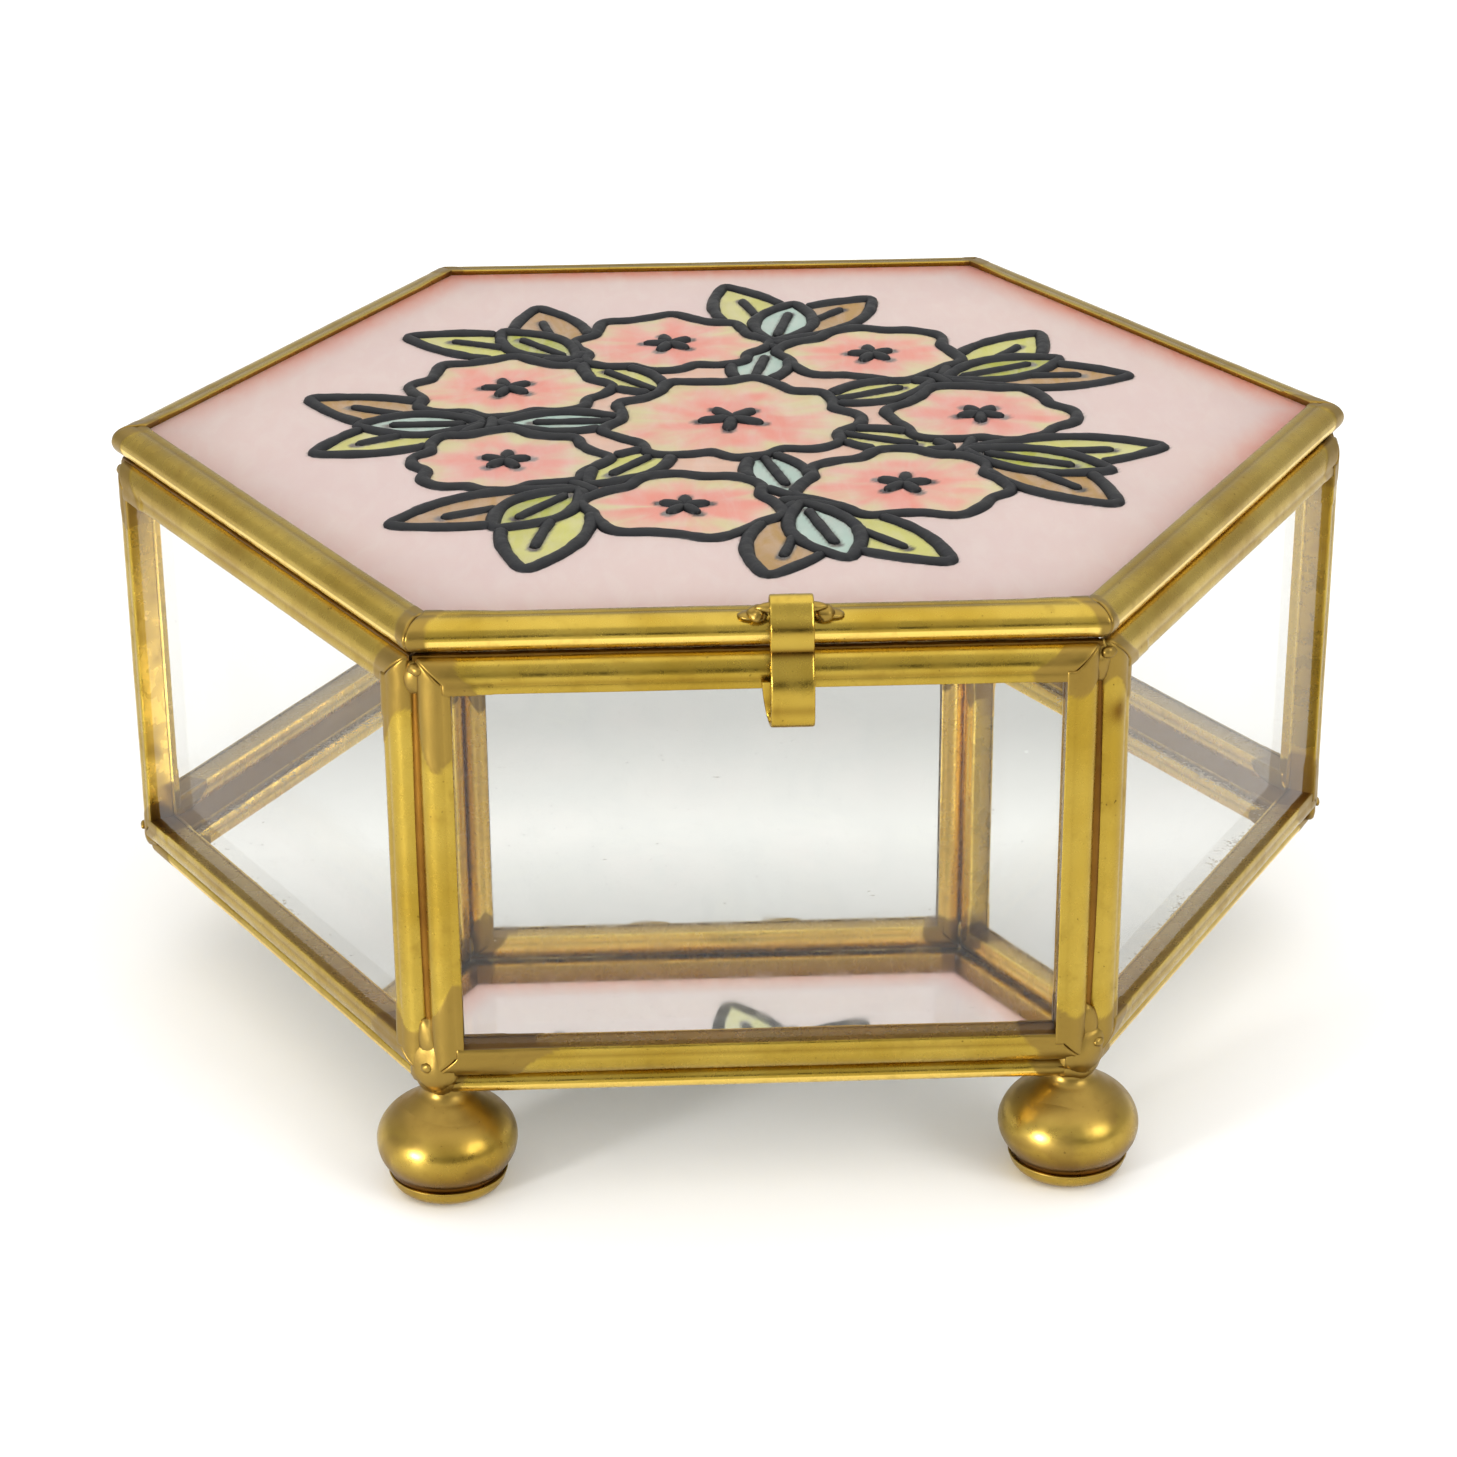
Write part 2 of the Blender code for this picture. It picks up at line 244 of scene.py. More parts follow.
def mirror_silver():
    """Old mirror: a little grey, dusty, and worn to dark specks along its edges."""
    s = Shade("aged_mirror")
    place = s.coordinates()
    depth = hexagon_depth(s, BASE_APOTHEM * MM)
    coarse = s.noise(place, 330, 4, 0.65)
    fine = s.noise(place, 1900, 3, 0.6)
    edge = s.ramp(depth, 0.0028, 0.0075, 0.17, 0.0)
    worn = s.ramp(s.math("ADD", s.math("MULTIPLY", s.math("ADD", coarse, fine), 0.5), edge), 0.64, 0.72)
    dust = s.ramp(s.noise(place, 2800, 2), 0.7, 0.76, 0.0, 0.7)
    silver = s.principled(
        base_color=srgb(246, 246, 243), metallic=1.0, roughness=s.ramp(coarse, 0.3, 0.8, 0.015, 0.05)
    )
    bare = s.principled(
        base_color=s.mix(s.ramp(fine, 0.4, 0.62), srgb(96, 84, 60), srgb(196, 186, 160)), roughness=0.6
    )
    share = s.math("MAXIMUM", s.math("MULTIPLY", worn, 0.75), s.math("MULTIPLY", dust, 0.35))
    return s.finish(s.shader_mix(share, silver.outputs[0], bare.outputs[0]))


def paint_film():
    """Brushed translucent glass paint, coloured by the mesh, that lets some light through to the inside."""
    s = Shade("glass_paint")
    place = s.coordinates("Object", (1, 0.35, 1))
    colour = s.attribute("paint", "Color")
    streaks = s.noise(place, 420, 5, 0.6, 0.6)
    clouds = s.noise(s.coordinates(), 45, 3)
    colour = s.mix(s.ramp(streaks, 0.35, 0.75, 0, 0.22), colour, srgb(246, 236, 228))
    colour = s.mix(s.ramp(clouds, 0.4, 0.75, 0, 0.16), colour, srgb(214, 180, 190))
    normal = s.bump(streaks, 0.35, 0.00012)
    top = s.principled(
        base_color=colour, roughness=0.36, coat_weight=0.35, coat_roughness=0.12, normal=normal
    )
    glow = s.node("Gamma")
    s.put(glow.inputs["Color"], colour)
    glow.inputs["Gamma"].default_value = 0.45
    through = s.node("BsdfTranslucent")
    s.put(through.inputs["Color"], glow.outputs[0])
    return s.finish(s.shader_mix(0.62, top.outputs[0], through.outputs[0]))


def paint_backing():
    """The film's side on the glass: clear, so that light meets the colour once, with a few bubbles."""
    s = Shade("paint_backing")
    bubbles = s.ramp(s.noise(s.coordinates(), 1500, 2), 0.7, 0.76, 0.0, 0.3)
    clear = s.node("BsdfTransparent")
    dull = s.node("BsdfDiffuse")
    dull.inputs["Color"].default_value = srgb(236, 214, 210)
    return s.finish(s.shader_mix(bubbles, clear.outputs[0], dull.outputs[0]))


def liner():
    """Raised black outliner paste, rounded and half glossy."""
    s = Shade("outline_paste")
    place = s.coordinates()
    lumps = s.noise(place, 700, 4)
    colour = s.mix(s.ramp(lumps, 0.35, 0.7), srgb(10, 11, 13), srgb(20, 21, 25))
    shader = s.principled(
        base_color=colour,
        roughness=s.ramp(lumps, 0.3, 0.75, 0.42, 0.6),
        specular_ior_level=0.3,
        normal=s.bump(lumps, 0.3, 0.0002),
    )
    return s.finish(shader.outputs[0])


def floor_white():
    s = Shade("studio_floor")
    tone = s.noise(s.coordinates(), 3, 3)
    colour = s.mix(s.ramp(tone, 0.3, 0.7), srgb(250, 250, 249), srgb(247, 247, 246))
    return s.finish(s.principled(base_color=colour, roughness=0.6).outputs[0])


RAIL_BRASS = brass("rail_brass", srgb(180, 153, 66), srgb(161, 132, 46), 0.26, stretched=True)
FOOT_BRASS = brass("foot_brass", srgb(188, 160, 76), srgb(158, 128, 50), 0.28, 0.6)
STRIP_BRASS = brass("strip_brass", srgb(184, 156, 68), srgb(168, 137, 49), 0.24, 0.6)
SEAM_BRASS = brass("seam_brass", srgb(132, 92, 34), srgb(96, 62, 20), 0.4)
GLASS = clear_glass("window_glass", (0.992, 0.994, 0.990, 1))
LID_GLASS = clear_glass("lid_glass_clear", (0.99, 0.992, 0.99, 1))
MIRROR = mirror_silver()
PAINT = paint_film()
LINER = liner()
BACKING = paint_backing()


# ---------------------------------------------------------------- pieces


def clothe(obj, material):
    obj.data.materials.clear()
    obj.data.materials.append(material)
    for polygon in obj.data.polygons:
        polygon.material_index = 0


def placed(name, data):
    """A new object in the scene."""
    obj = bpy.data.objects.new(name, data)
    bpy.context.scene.collection.objects.link(obj)
    return obj


def piece(name, mesh, material, body, stands_for=()):
    obj = placed(name, mesh)
    clothe(obj, material)
    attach(obj, body)
    if stands_for:
        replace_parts(obj, *stands_for)
    return obj


def mesh_from(name, points, faces, smooth_angle, **point_values):
    """A mesh from points in millimetres, with named values on its points."""
    mesh = bpy.data.meshes.new(name)
    mesh.from_pydata((np.asarray(points) * MM).tolist(), [], faces)
    for key, values in point_values.items():
        layer = mesh.attributes.new(key, "FLOAT", "POINT")
        layer.data.foreach_set("value", np.asarray(values, np.float32).ravel())
    mesh.shade_smooth()
    mesh.set_sharp_from_angle(angle=math.radians(smooth_angle))
    return mesh


SEAM = 0.03  # half the hairline between two rails that meet
CREASED = 0.45  # painted shade: how dark the groove beside a rail's arch is painted
STILE_CREASED = 0.12
PUTTY_DEPTH = 0.12  # the glass is bedded in putty almost up to the lips


def band_faces(rings, count, outward=True):
    """The faces between rings of count points each."""
    faces = []
    for i in range(rings - 1):
        for k in range(count):
            a, b = i * count + k, i * count + (k + 1) % count
            faces.append((a, b, b + count, a + count) if outward else (a, a + count, b + count, b))
    return faces


def tube_faces(rings, count):
    """The faces of a closed tube of rings, with both ends capped."""
    last = (rings - 1) * count
    return band_faces(rings, count) + [list(range(count))[::-1], list(range(last, last + count))]


def came_profile(shape):
    """The came's closed section as (depth, across, outward depth, outward across, outside)."""
    depth, thickness, arch, lip = shape
    half = thickness / 2
    arch_steps = 11
    outer = [(depth, half - 0.09, 0.7, 0.7, 1), (depth - 0.1, half - 0.02, 0.1, 1, 1)]
    outer += [(arch + 0.75, half - 0.02, 0, 1, 1), (arch + 0.4, half - 0.03, 0, 1, 1)]
    outer += [(arch + 0.18, half - 0.1, 0.1, 1, 1)]
    for i in range(arch_steps):
        angle = math.radians(90) * (1 - (i + 0.6) / (arch_steps + 0.1))
        down, side = math.cos(angle), math.sin(angle)
        outer.append((arch * (1 - down), half * side, -down, side, 1))
    spine = [(0, 0, -1, 0, 1)]
    mirrored = [(d, -a, nd, -na, o) for d, a, nd, na, o in reversed(outer)]
    inner_half = half - lip
    putty = depth - PUTTY_DEPTH
    channel = [(depth, -inner_half, 0, 0, 0), (putty, -inner_half, 0, 0, 0)]
    channel += [(putty, inner_half, 0, 0, 0), (depth, inner_half, 0, 0, 0)]
    return outer + spine + mirrored + channel


def end_spacing(solder_length):
    """Distances from a rail's end of its sections: close together as far as the solder may reach."""
    near = [0, 0.04, 0.1, 0.18, 0.3]
    reach = solder_length * 1.5 + 0.8
    steps = max(int(reach / 0.3), 4)
    return near + [0.3 + (reach - 0.3) * (i + 1) / steps for i in range(steps)]


def came_rail(name, shape, half_length, place, seed, ends, lifts, creased=CREASED, stain=None):
    """A finely cut length of came like the frame's, slightly uneven, with solder run on to its two ends.

    ends are the solder's reach at the left and right end. lifts say how far the flange laps over its
    neighbour's. stain is the place of a dark spot on the rail.
    """
    profile = came_profile(shape)
    count = len(profile)
    left, right = ([(side, t, None) for t in end_spacing(reach)] for side, reach in zip((-1, 1), ends))
    middle_steps = 18
    last_left, last_right = left[-1][1], right[-1][1]
    sections = left[:]
    sections += [(0, last_left, (i + 1) / (middle_steps + 1)) for i in range(middle_steps)]
    sections += right[::-1]
    points, solder, grime, kept, strip = [], [], [], [], []
    girth = [0.0]
    for before, after in zip(profile, profile[1:]):
        girth.append(girth[-1] + math.hypot(after[0] - before[0], after[1] - before[1]))
    rng = random.Random(seed)
    phases = [(rng.uniform(0, 6), rng.uniform(0.75, 1.2), rng.uniform(0, 6)) for _ in range(2)]
    for side, t, share in sections:
        for k, (depth, across, out_depth, out_across, outside) in enumerate(profile):
            half = half_length(depth)
            if side:
                x = side * (half - t)
                end = 0 if side < 0 else 1
                from_end = t
            else:
                x = -(half - last_left) + share * (2 * half - last_left - last_right)
                end = 0 if x < 0 else 1
                from_end = half - abs(x)
            phase, size, turn = phases[end]
            lobe = 0.85 + 0.22 * math.sin(across * 0.95 + phase) + 0.14 * math.sin(depth * 1.3 + turn)
            edge = ends[end] * size * lobe - from_end
            mask = float(smooth_step(edge, -0.08, 0.16)) * (ends[end] > 0)
            round_off = 0.0
            if from_end < 0.3:
                round_off = 0.24 * (1 - math.sqrt(max(0.0, 1 - (1 - from_end / 0.3) ** 2)))
            uneven = 0.035 * wave(x * 0.07, seed * 3.7, across * 0.15) + 0.012 * wave(x * 0.45, seed, depth)
            run = mask * (0.05 + 0.05 * wave(x * 0.35, depth * 0.5, across * 0.5 + seed))
            lift = lifts[end] if (depth > shape[2] and from_end < shape[0] + 1.5 and outside) else 0
            push = (uneven + run - round_off) * outside
            sideways = across + out_across * push + math.copysign(lift, across)
            points.append((x, depth + out_depth * push, sideways))
            solder.append(mask)
            # painted shade: the groove beside the arch is darkened, except where solder runs
            crease = creased * math.exp(-((depth - shape[2] - 0.2) / 0.2) ** 2) * (1 - mask)
            spot = 0.0
            if stain:
                spot = 1.1 * math.exp(-((x - stain[0]) / 1.3) ** 2 - ((depth - stain[1]) / 0.8) ** 2)
            # painted shade: the faces inside the channel are darkened; the very ends get a dark seam, and
            # the stain is a real dark spot
            grime.append(max(crease, (from_end < 0.12) * 0.35, 0.75 * (not outside), spot))
            # painted light: the side with across below zero, inside the walls and under the ring rails, is
            # painted brighter
            kept.append(float(across < 0) * (1 - mask))
            strip.append((x * MM, girth[k] * MM))
    matrix = np.array(place.to_3x3())
    moved = np.array(points) @ matrix.T + np.array(place.translation)
    faces = tube_faces(len(sections), count)
    mesh = mesh_from(name, moved, faces, 38, solder=solder, grime=grime, kept=kept)
    layer = mesh.uv_layers.new(name="strip")
    corners = np.empty(len(mesh.loops), np.int32)
    mesh.loops.foreach_get("vertex_index", corners)
    layer.data.foreach_set("uv", np.array(strip, np.float32)[corners].ravel())
    return mesh


def frame_matrix(origin, along, across):
    """Turns local X to along and local Y to across, at origin, all in millimetres."""
    along, across = Vector(along), Vector(across)
    turn = Matrix((along, across, along.cross(across))).transposed().to_4x4()
    return Matrix.Translation(origin) @ turn


def side_turn(index):
    return Matrix.Rotation(index * STEP, 4, "Z")


def ring_lengths(apothem, shape, grow):
    """Half lengths for a rail of a flat hexagon, with grow more of its flange left on."""
    deepest = shape[2] + 0.3 + grow
    return lambda depth: (apothem - min(depth, deepest)) * math.tan(STEP / 2) - SEAM


def lapped(half, shape):
    """Half lengths for a rail whose spine is mitred and whose flange runs on over its neighbour's."""
    return lambda depth: half - min(depth, shape[2] + 0.15) - SEAM


STAINED_STILE = "wall_front_right_stile_left"
STAIN_PLACE = (-15.0, 0.9)  # along the stile from its middle, and down from its spine

# How far solder has run along each part of a wall's frame: (left or bottom end, right or top end)
WALL_SOLDER = {
    "front": {
        "rail_bottom": (9.5, 4.5), "rail_top": (3.6, 3.2),
        "stile_left": (6.3, 7.5), "stile_right": (4.8, 4.6),
    },
    "front_left": {
        "rail_bottom": (4, 7), "rail_top": (5, 3),
        "stile_left": (4, 5), "stile_right": (6.0, 7.5),
    },
    "front_right": {
        "rail_bottom": (4.5, 5), "rail_top": (3, 5),
        "stile_left": (4.5, 5.5), "stile_right": (5, 4),
    },
}


BASE_SOLDER = [(5, 4)] * SIDES
LID_SOLDER = [(2.2, 1.8), (2, 2.2), (3, 2), (2, 3), (2.4, 2), (2.2, 2.6)]


def build_wall_frames():
    _, thickness, arch, _ = CAME
    reach = math.hypot(arch * math.cos(STEP / 2), thickness / 2 * math.sin(STEP / 2))
    pane_half = CORNER_RADIUS / 2 - ((reach + 0.15) / math.sin(STEP) - arch)
    height_half = (WALL_HIGH - WALL_LOW) / 2
    centre = Vector((0, -WALL_APOTHEM, (WALL_HIGH + WALL_LOW) / 2))
    up, right = Vector((0, 0, 1)), Vector((1, 0, 0))
    laps = {"rail_bottom": (0.1, 0), "rail_top": (0, 0.1), "stile_left": (0, 0), "stile_right": (0.1, 0.1)}
    for index, side in enumerate(SIDE_NAMES):
        places = {
            "rail_bottom": (pane_half, frame_matrix(centre - up * height_half, right, up), False),
            "rail_top": (pane_half, frame_matrix(centre + up * height_half, -right, -up), True),
            "stile_left": (height_half, frame_matrix(centre - right * pane_half, -up, right), True),
            "stile_right": (height_half, frame_matrix(centre + right * pane_half, up, -right), False),
        }
        rng = random.Random(40 + index)
        for number, (part, (half, place, flipped)) in enumerate(places.items()):
            node = f"wall_{side}_{part}"
            ends = WALL_SOLDER.get(side, {}).get(part) or (rng.uniform(3.5, 8), rng.uniform(3, 6.5))
            if flipped:
                ends = ends[::-1]
            shape = STILE if "stile" in part else CAME
            mesh = came_rail(
                f"came_{node}", shape, lapped(half, shape), side_turn(index) @ place,
                index * 10 + number, ends, laps[part],
                STILE_CREASED if "stile" in part else CREASED,
                STAIN_PLACE if node == STAINED_STILE else None,
            )
            piece(f"came_{node}", mesh, RAIL_BRASS, "box", [node])
        clothe(nodes[f"wall_{side}_glass"], GLASS)


def build_ring(prefix, shape, apothem, middle, body, solder, seed):
    """Six rails round a flat hexagon."""
    place = frame_matrix((0, -apothem, middle), (1, 0, 0), (0, 1, 0))
    for index, side in enumerate(SIDE_NAMES):
        node = f"{prefix}_{side}"
        laps, grow = ((0.12, 0.12), 0.45) if index % 2 == 0 else ((0, 0), 0.0)
        lengths = ring_lengths(apothem, shape, grow)
        turned = side_turn(index) @ place
        mesh = came_rail(f"came_{node}", shape, lengths, turned, seed + index, solder[index], laps)
        piece(f"came_{node}", mesh, RAIL_BRASS, body, [node])


def blob(centre, radii, turn=0.0, seed=0, lumps=0.16, rings=14, segments=20):
    """The points and faces of a rounded, uneven drop of solder."""
    points = []
    spin = Matrix.Rotation(turn, 3, "Z")
    for i in range(rings + 1):
        tilt = math.pi * i / rings
        for j in range(segments):
            angle = math.tau * j / segments
            flat = math.sin(tilt)
            unit = Vector((flat * math.cos(angle), flat * math.sin(angle), math.cos(tilt)))
            swell = 1 + lumps * wave(unit.x * 1.3 + seed * 7.1, unit.y * 1.3, unit.z * 1.3 + seed)
            local = Vector((unit.x * radii[0], unit.y * radii[1], unit.z * radii[2])) * swell
            points.append(tuple(Vector(centre) + spin @ local))
    return points, band_faces(rings + 1, segments, False)


def joined(parts):
    """Several (points, faces) as one."""
    points, faces = [], []
    for more_points, more_faces in parts:
        start = len(points)
        points += more_points
        faces += [tuple(start + i for i in face) for face in more_faces]
    return points, faces


def solder_piece(name, parts, body, material=FOOT_BRASS, dullness=1.0):
    points, faces = joined(parts)
    dull = np.full(len(points), dullness)
    mesh = mesh_from(name, points, faces, 60, solder=dull, grime=np.zeros(len(points)))
    weld = bmesh.new()
    weld.from_mesh(mesh)
    bmesh.ops.remove_doubles(weld, verts=weld.verts, dist=0.002 * MM)
    weld.to_mesh(mesh)
    weld.free()
    return piece(name, mesh, material, body)


def around(radius, angle, height):
    return (radius * math.cos(angle), radius * math.sin(angle), height)


def build_corner_solder():
    """Solder in the groove between neighbouring walls, thick at the floor and thin under the lid."""
    for index in range(SIDES):
        angle = index * STEP
        rng = random.Random(90 + index)
        foot = index in FOOT_CORNERS.values()
        groove = CORNER_RADIUS + 0.55
        parts = [
            blob(around(groove - 0.75, angle, 14.6), (1.0, 2.3, 2.7 if foot else 2.0), angle, index, 0.3),
            blob(around(groove - 0.9, angle, 17.4), (0.8, 1.3, 2.6), angle, index + 9, 0.3),
            blob(around(groove - 1.0, angle, 56.6), (0.9, 1.4, 1.9), angle, index + 20, 0.3),
            blob(around(groove - 0.25, angle + 0.008, 57.6), (0.5, 0.8, 0.6), angle, index + 31, 0.2),
        ]
        drop = around(groove + 0.2, angle + rng.uniform(-0.02, 0.02), rng.uniform(14.6, 16.5))
        parts.append(blob(drop, (0.35, 0.62, 0.5), angle, index * 3))
        solder_piece(f"solder_corner_{index}", parts, "box")
        seam = blob(around(groove - 1.08, angle, 36.2), (0.62, 0.8, 21.3), angle, index + 50, 0.05, 40, 14)
        solder_piece(f"seam_corner_{index}", [seam], "box", SEAM_BRASS, 0.0)


def side_strip(name, section, index, grime, seed):
    """A dull strip along one side of the box. section lists its (apothem, height) points."""
    points = []
    steps = 60
    for i in range(steps + 1):
        share = 2 * i / steps - 1
        for apothem, height in section:
            x = share * (apothem * math.tan(STEP / 2) - 0.2)
            sag = 0.08 * wave(x * 0.35, seed, 0) * (height - section[0][1])
            points.append((x, -apothem + sag, height + sag))
    turn = np.array(side_turn(index).to_3x3())
    mesh = mesh_from(
        name, np.array(points) @ turn.T, tube_faces(steps + 1, len(section)), 50,
        solder=np.ones(len(points)), grime=np.full(len(points), grime),
    )
    piece(name, welded(mesh, 50), FOOT_BRASS, "box")


def build_strips():
    """Old solder inside along the foot of each wall, and the beads on the walls that the lid rests on,
    darkened almost fully as painted shade under the lid.
    """
    fillet = [(56.4, 13.7), (56.4, 15.3), (55.3, 15.0), (54.6, 14.5), (54.1, 14.05), (53.8, 13.72)]
    bead = [(57.1, 58.35), (57.0, 58.85), (56.7, 58.96), (56.2, 58.93), (55.9, 58.7), (55.9, 58.0)]
    for index, side in enumerate(SIDE_NAMES):
        side_strip(f"inner_seam_{side}", fillet, index, 0.55, index * 5)
        if side != "front_right":
            # painted shade: the beads under the lid are painted nearly as dark as the darkening goes
            side_strip(f"lid_rest_{side}", bead, index, 0.95, index * 5 + 2)


def lathe(profile, facets, wobble, seed, spot):
    """Points and faces of a turned shape with small dents. profile goes from the top down."""
    points = []
    for radius, height in profile:
        for j in range(facets):
            angle = math.tau * j / facets
            x, y = radius * math.cos(angle), radius * math.sin(angle)
            dent = wobble * wave(x * 0.22 + seed * 5, y * 0.22, height * 0.3)
            scale = 1 + dent / max(radius, 0.5) if radius else 1
            points.append((spot[0] + x * scale, spot[1] + y * scale, height))
    return points, band_faces(len(profile), facets, False)


def arc(centre, radii, start, end, count):
    angles = [math.radians(start + (end - start) * i / (count - 1)) for i in range(count)]
    return [(centre[0] + radii[0] * math.cos(a), centre[1] + radii[1] * math.sin(a)) for a in angles]


def welded(mesh, angle):
    """The mesh with its doubled points joined and its faces turned outwards."""
    shape = bmesh.new()
    shape.from_mesh(mesh)
    bmesh.ops.remove_doubles(shape, verts=shape.verts, dist=0.001 * MM)
    bmesh.ops.dissolve_degenerate(shape, edges=shape.edges, dist=0.0005 * MM)
    bmesh.ops.recalc_face_normals(shape, faces=shape.faces)
    shape.to_mesh(mesh)
    shape.free()
    mesh.shade_smooth()
    mesh.set_sharp_from_angle(angle=math.radians(angle))
    return mesh


def build_feet():
    """Hollow pressed balls, each with a soldered neck, a pressed cap below and dull heat stains."""
    for number, (corner, index) in enumerate(FOOT_CORNERS.items()):
        angle = index * STEP
        spot = (FOOT_AXIS * math.cos(angle), FOOT_AXIS * math.sin(angle))
        bulge = arc((0, 5.25), (7.1, 5.0), 74, -30, 40)
        ledge = [(6.0, 2.6), (5.92, 2.4), (5.9, 2.2), (5.8, 2.08), (0, 2.06)]
        points, faces = lathe([(0, 10.3), (1.2, 10.22)] + bulge + ledge, 72, 0.07, number, spot)
        heights = np.array([p[2] for p in points])
        stain = [
            float(smooth_step(wave(p[0] * 0.25, p[1] * 0.25, p[2] * 0.3 + number), 0.12, 0.3)) * 0.75
            + float(smooth_step(p[2], 6.6, 9.0))
            for p in points
        ]
        # a dark line where the ball meets its cap, and painted shade that darkens the lower part of the ball
        seam = np.exp(-((heights - 2.3) / 0.2) ** 2) * 0.6 + 1.1 * (1 - smooth_step(heights, 2.4, 6.2))
        mesh = mesh_from(f"ball_{corner}", points, faces, 45, solder=np.clip(stain, 0, 1), grime=seam)
        piece(f"ball_{corner}", welded(mesh, 45), FOOT_BRASS, "box", [f"foot_ball_{corner}"])
        cap = [(0, 2.04), (5.85, 2.04), (6.02, 1.98), (6.04, 1.86), (5.93, 1.76)]
        cap += arc((3.8, 1.65), (2.1, 1.65), 0, -90, 14)
        points, faces = lathe(cap + [(0, 0)], 72, 0.05, number + 8, spot)
        heights = np.array([p[2] for p in points])
        mesh = mesh_from(
            f"cap_{corner}", points, faces, 45,
            solder=np.zeros(len(points)), grime=np.exp(-((heights - 2.05) / 0.06) ** 2) * 0.7,
        )
        piece(f"cap_{corner}", welded(mesh, 45), FOOT_BRASS, "box", [f"foot_cap_{corner}"])
        flare = arc((4.1, 11.5), (1.85, 1.6), 125, 235, 22)
        flare += [(3.5, 9.84), (3.9, 9.54), (4.3, 9.28), (4.8, 8.94), (5.2, 8.6), (0, 8.5)]
        fillet = lathe([(0, 12.9)] + flare, 48, 0.2, number + 20, spot)
        lump = blob(around(FOOT_AXIS + 0.9, angle, 12.9), (2.0, 2.6, 2.3), angle, number + 3, 0.25)
        solder_piece(f"solder_foot_{corner}", [fillet, lump], "box")


def refined(node, body, material):
    """A welded, smoothly shaded copy of a small CAD node with its edges broken."""
    mesh = nodes[node].data.copy()
    mesh.name = f"fine_{node}"
    welded(mesh, 30)
    obj = piece(f"fine_{node}", mesh, material, body, [node])
    bevel = obj.modifiers.new("edges", "BEVEL")
    bevel.width = 0.05 * MM
    bevel.segments = 2
    bevel.limit_method = "ANGLE"
    bevel.angle_limit = math.radians(35)
    bevel.harden_normals = True


# ---------------------------------------------------------------- clasp

CLASP = Vector((3.0, -57.8, 63.35))
CLASP_WIDTH = 4.2
STRIP = 0.45
CLASP_SHADE = [(1.5, 0.55), (3.9, 1.2), (9.2, 0.5)]  # painted shade: how far below the wire the strip is painted dark, and how dark


def clasp_line():
    """The middle of the clasp's strip from the side, as (forwards, up) from its wire."""
    eye = 1.3 - STRIP / 2
    front = -60.0 - 1.3 - CLASP.y
    curl = 1.02
    foot_y, foot_z = front + STRIP / 2 + curl, -10.05
    roll = arc((0, 0), (eye, eye), -62, 180, 40)
    belly = arc((-eye, -2.2), (1.0, 1.75), 118, 232, 22)
    rise = arc((foot_y + 0.12, -8.6), (curl + 0.12, 3.3), 118, 180, 18)
    hook = arc((foot_y, foot_z), (curl, curl), 180, 360, 30)
    rough = roll + belly + rise + hook + [(foot_y + curl, foot_z + 3.0)]
    line, step = [Vector(rough[0])], 0.16
    for before, after in zip(rough, rough[1:]):
        before, after = Vector(before), Vector(after)
        pieces = max(1, round((after - before).length / step))
        line += [before.lerp(after, (i + 1) / pieces) for i in range(pieces)]
    for _ in range(16):
        line = [line[0]] + [(a + b * 2 + c) / 4 for a, b, c in zip(line, line[1:], line[2:])] + [line[-1]]
    return line


def build_clasp():
    line = clasp_line()
    half, thick = CLASP_WIDTH / 2, STRIP / 2
    section = [(-half, 0), (-half + 0.03, 0.6), (-half + 0.12, 0.92), (-half + 0.3, 1.0)]
    section.append((0, 1.04))
    section += [(-x, h) for x, h in reversed(section[:4])]
    section += [(x, -h) for x, h in reversed(section[1:-1])]
    points, grime = [], []
    for i, middle in enumerate(line):
        before, after = line[max(i - 1, 0)], line[min(i + 1, len(line) - 1)]
        along = (after - before).normalized()
        normal = Vector((along.y, -along.x))
        skew = -0.75 * float(smooth_step(i / len(line), 0.72, 1.0))
        for x, height in section:
            flat = middle + normal * height * thick * (0.97 if i in (0, len(line) - 1) else 1)
            uneven = 0.02 * wave(x * 0.5, middle.x, middle.y * 0.5)
            points.append((CLASP.x + x + skew, CLASP.y + flat.x + uneven, CLASP.z + flat.y))
            # painted shade in the strip's bends below the wire
            shade = sum(dark * math.exp(-(((middle.y + drop) / 0.5) ** 2)) for drop, dark in CLASP_SHADE)
            grime.append(shade * (middle.x < 0))
    faces = tube_faces(len(line), len(section))
    mesh = mesh_from("clasp_strip", points, faces, 50, solder=np.zeros(len(points)), grime=grime)
    welded(mesh, 50)
    piece("clasp_strip", mesh, STRIP_BRASS, "clasp", ["clasp_tab"])
    lumps = [blob(CLASP, (3.5, 0.68, 0.66), 0, 2, 0.03)]
    for side in (-1, 1):
        x = CLASP.x + side * 3.2
        lumps.append(blob((x, CLASP.y + 0.35, 62.55), (1.0, 0.95, 0.8), 0, 5 + side, 0.2))
        lumps.append(blob((x + side * 0.4, CLASP.y + 1.0, 62.2), (1.5, 1.0, 0.4), 0, 8 + side, 0.2))
    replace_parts(solder_piece("clasp_wire_soldered", lumps, "lid", STRIP_BRASS), "clasp_wire")


def build_hinge():
    for node, body in (
        ("hinge_knuckle_left", "box"),
        ("hinge_knuckle_right", "box"),
        ("hinge_pin", "box"),
        ("hinge_knuckle_lid", "lid"),
    ):
        refined(node, body, STRIP_BRASS)
    low = [blob((side * 8.8, 59.0, 55.9), (3.0, 0.6, 0.55), 0, 3 + side, 0.2) for side in (-1, 1)]
    high = [blob((0, 58.3, 61.2), (4.6, 0.45, 0.26), 0, 1, 0.2)]
    solder_piece("solder_hinge_box", low, "box", STRIP_BRASS)
    solder_piece("solder_hinge_lid", high, "lid", STRIP_BRASS)


# ---------------------------------------------------------------- the lid's picture


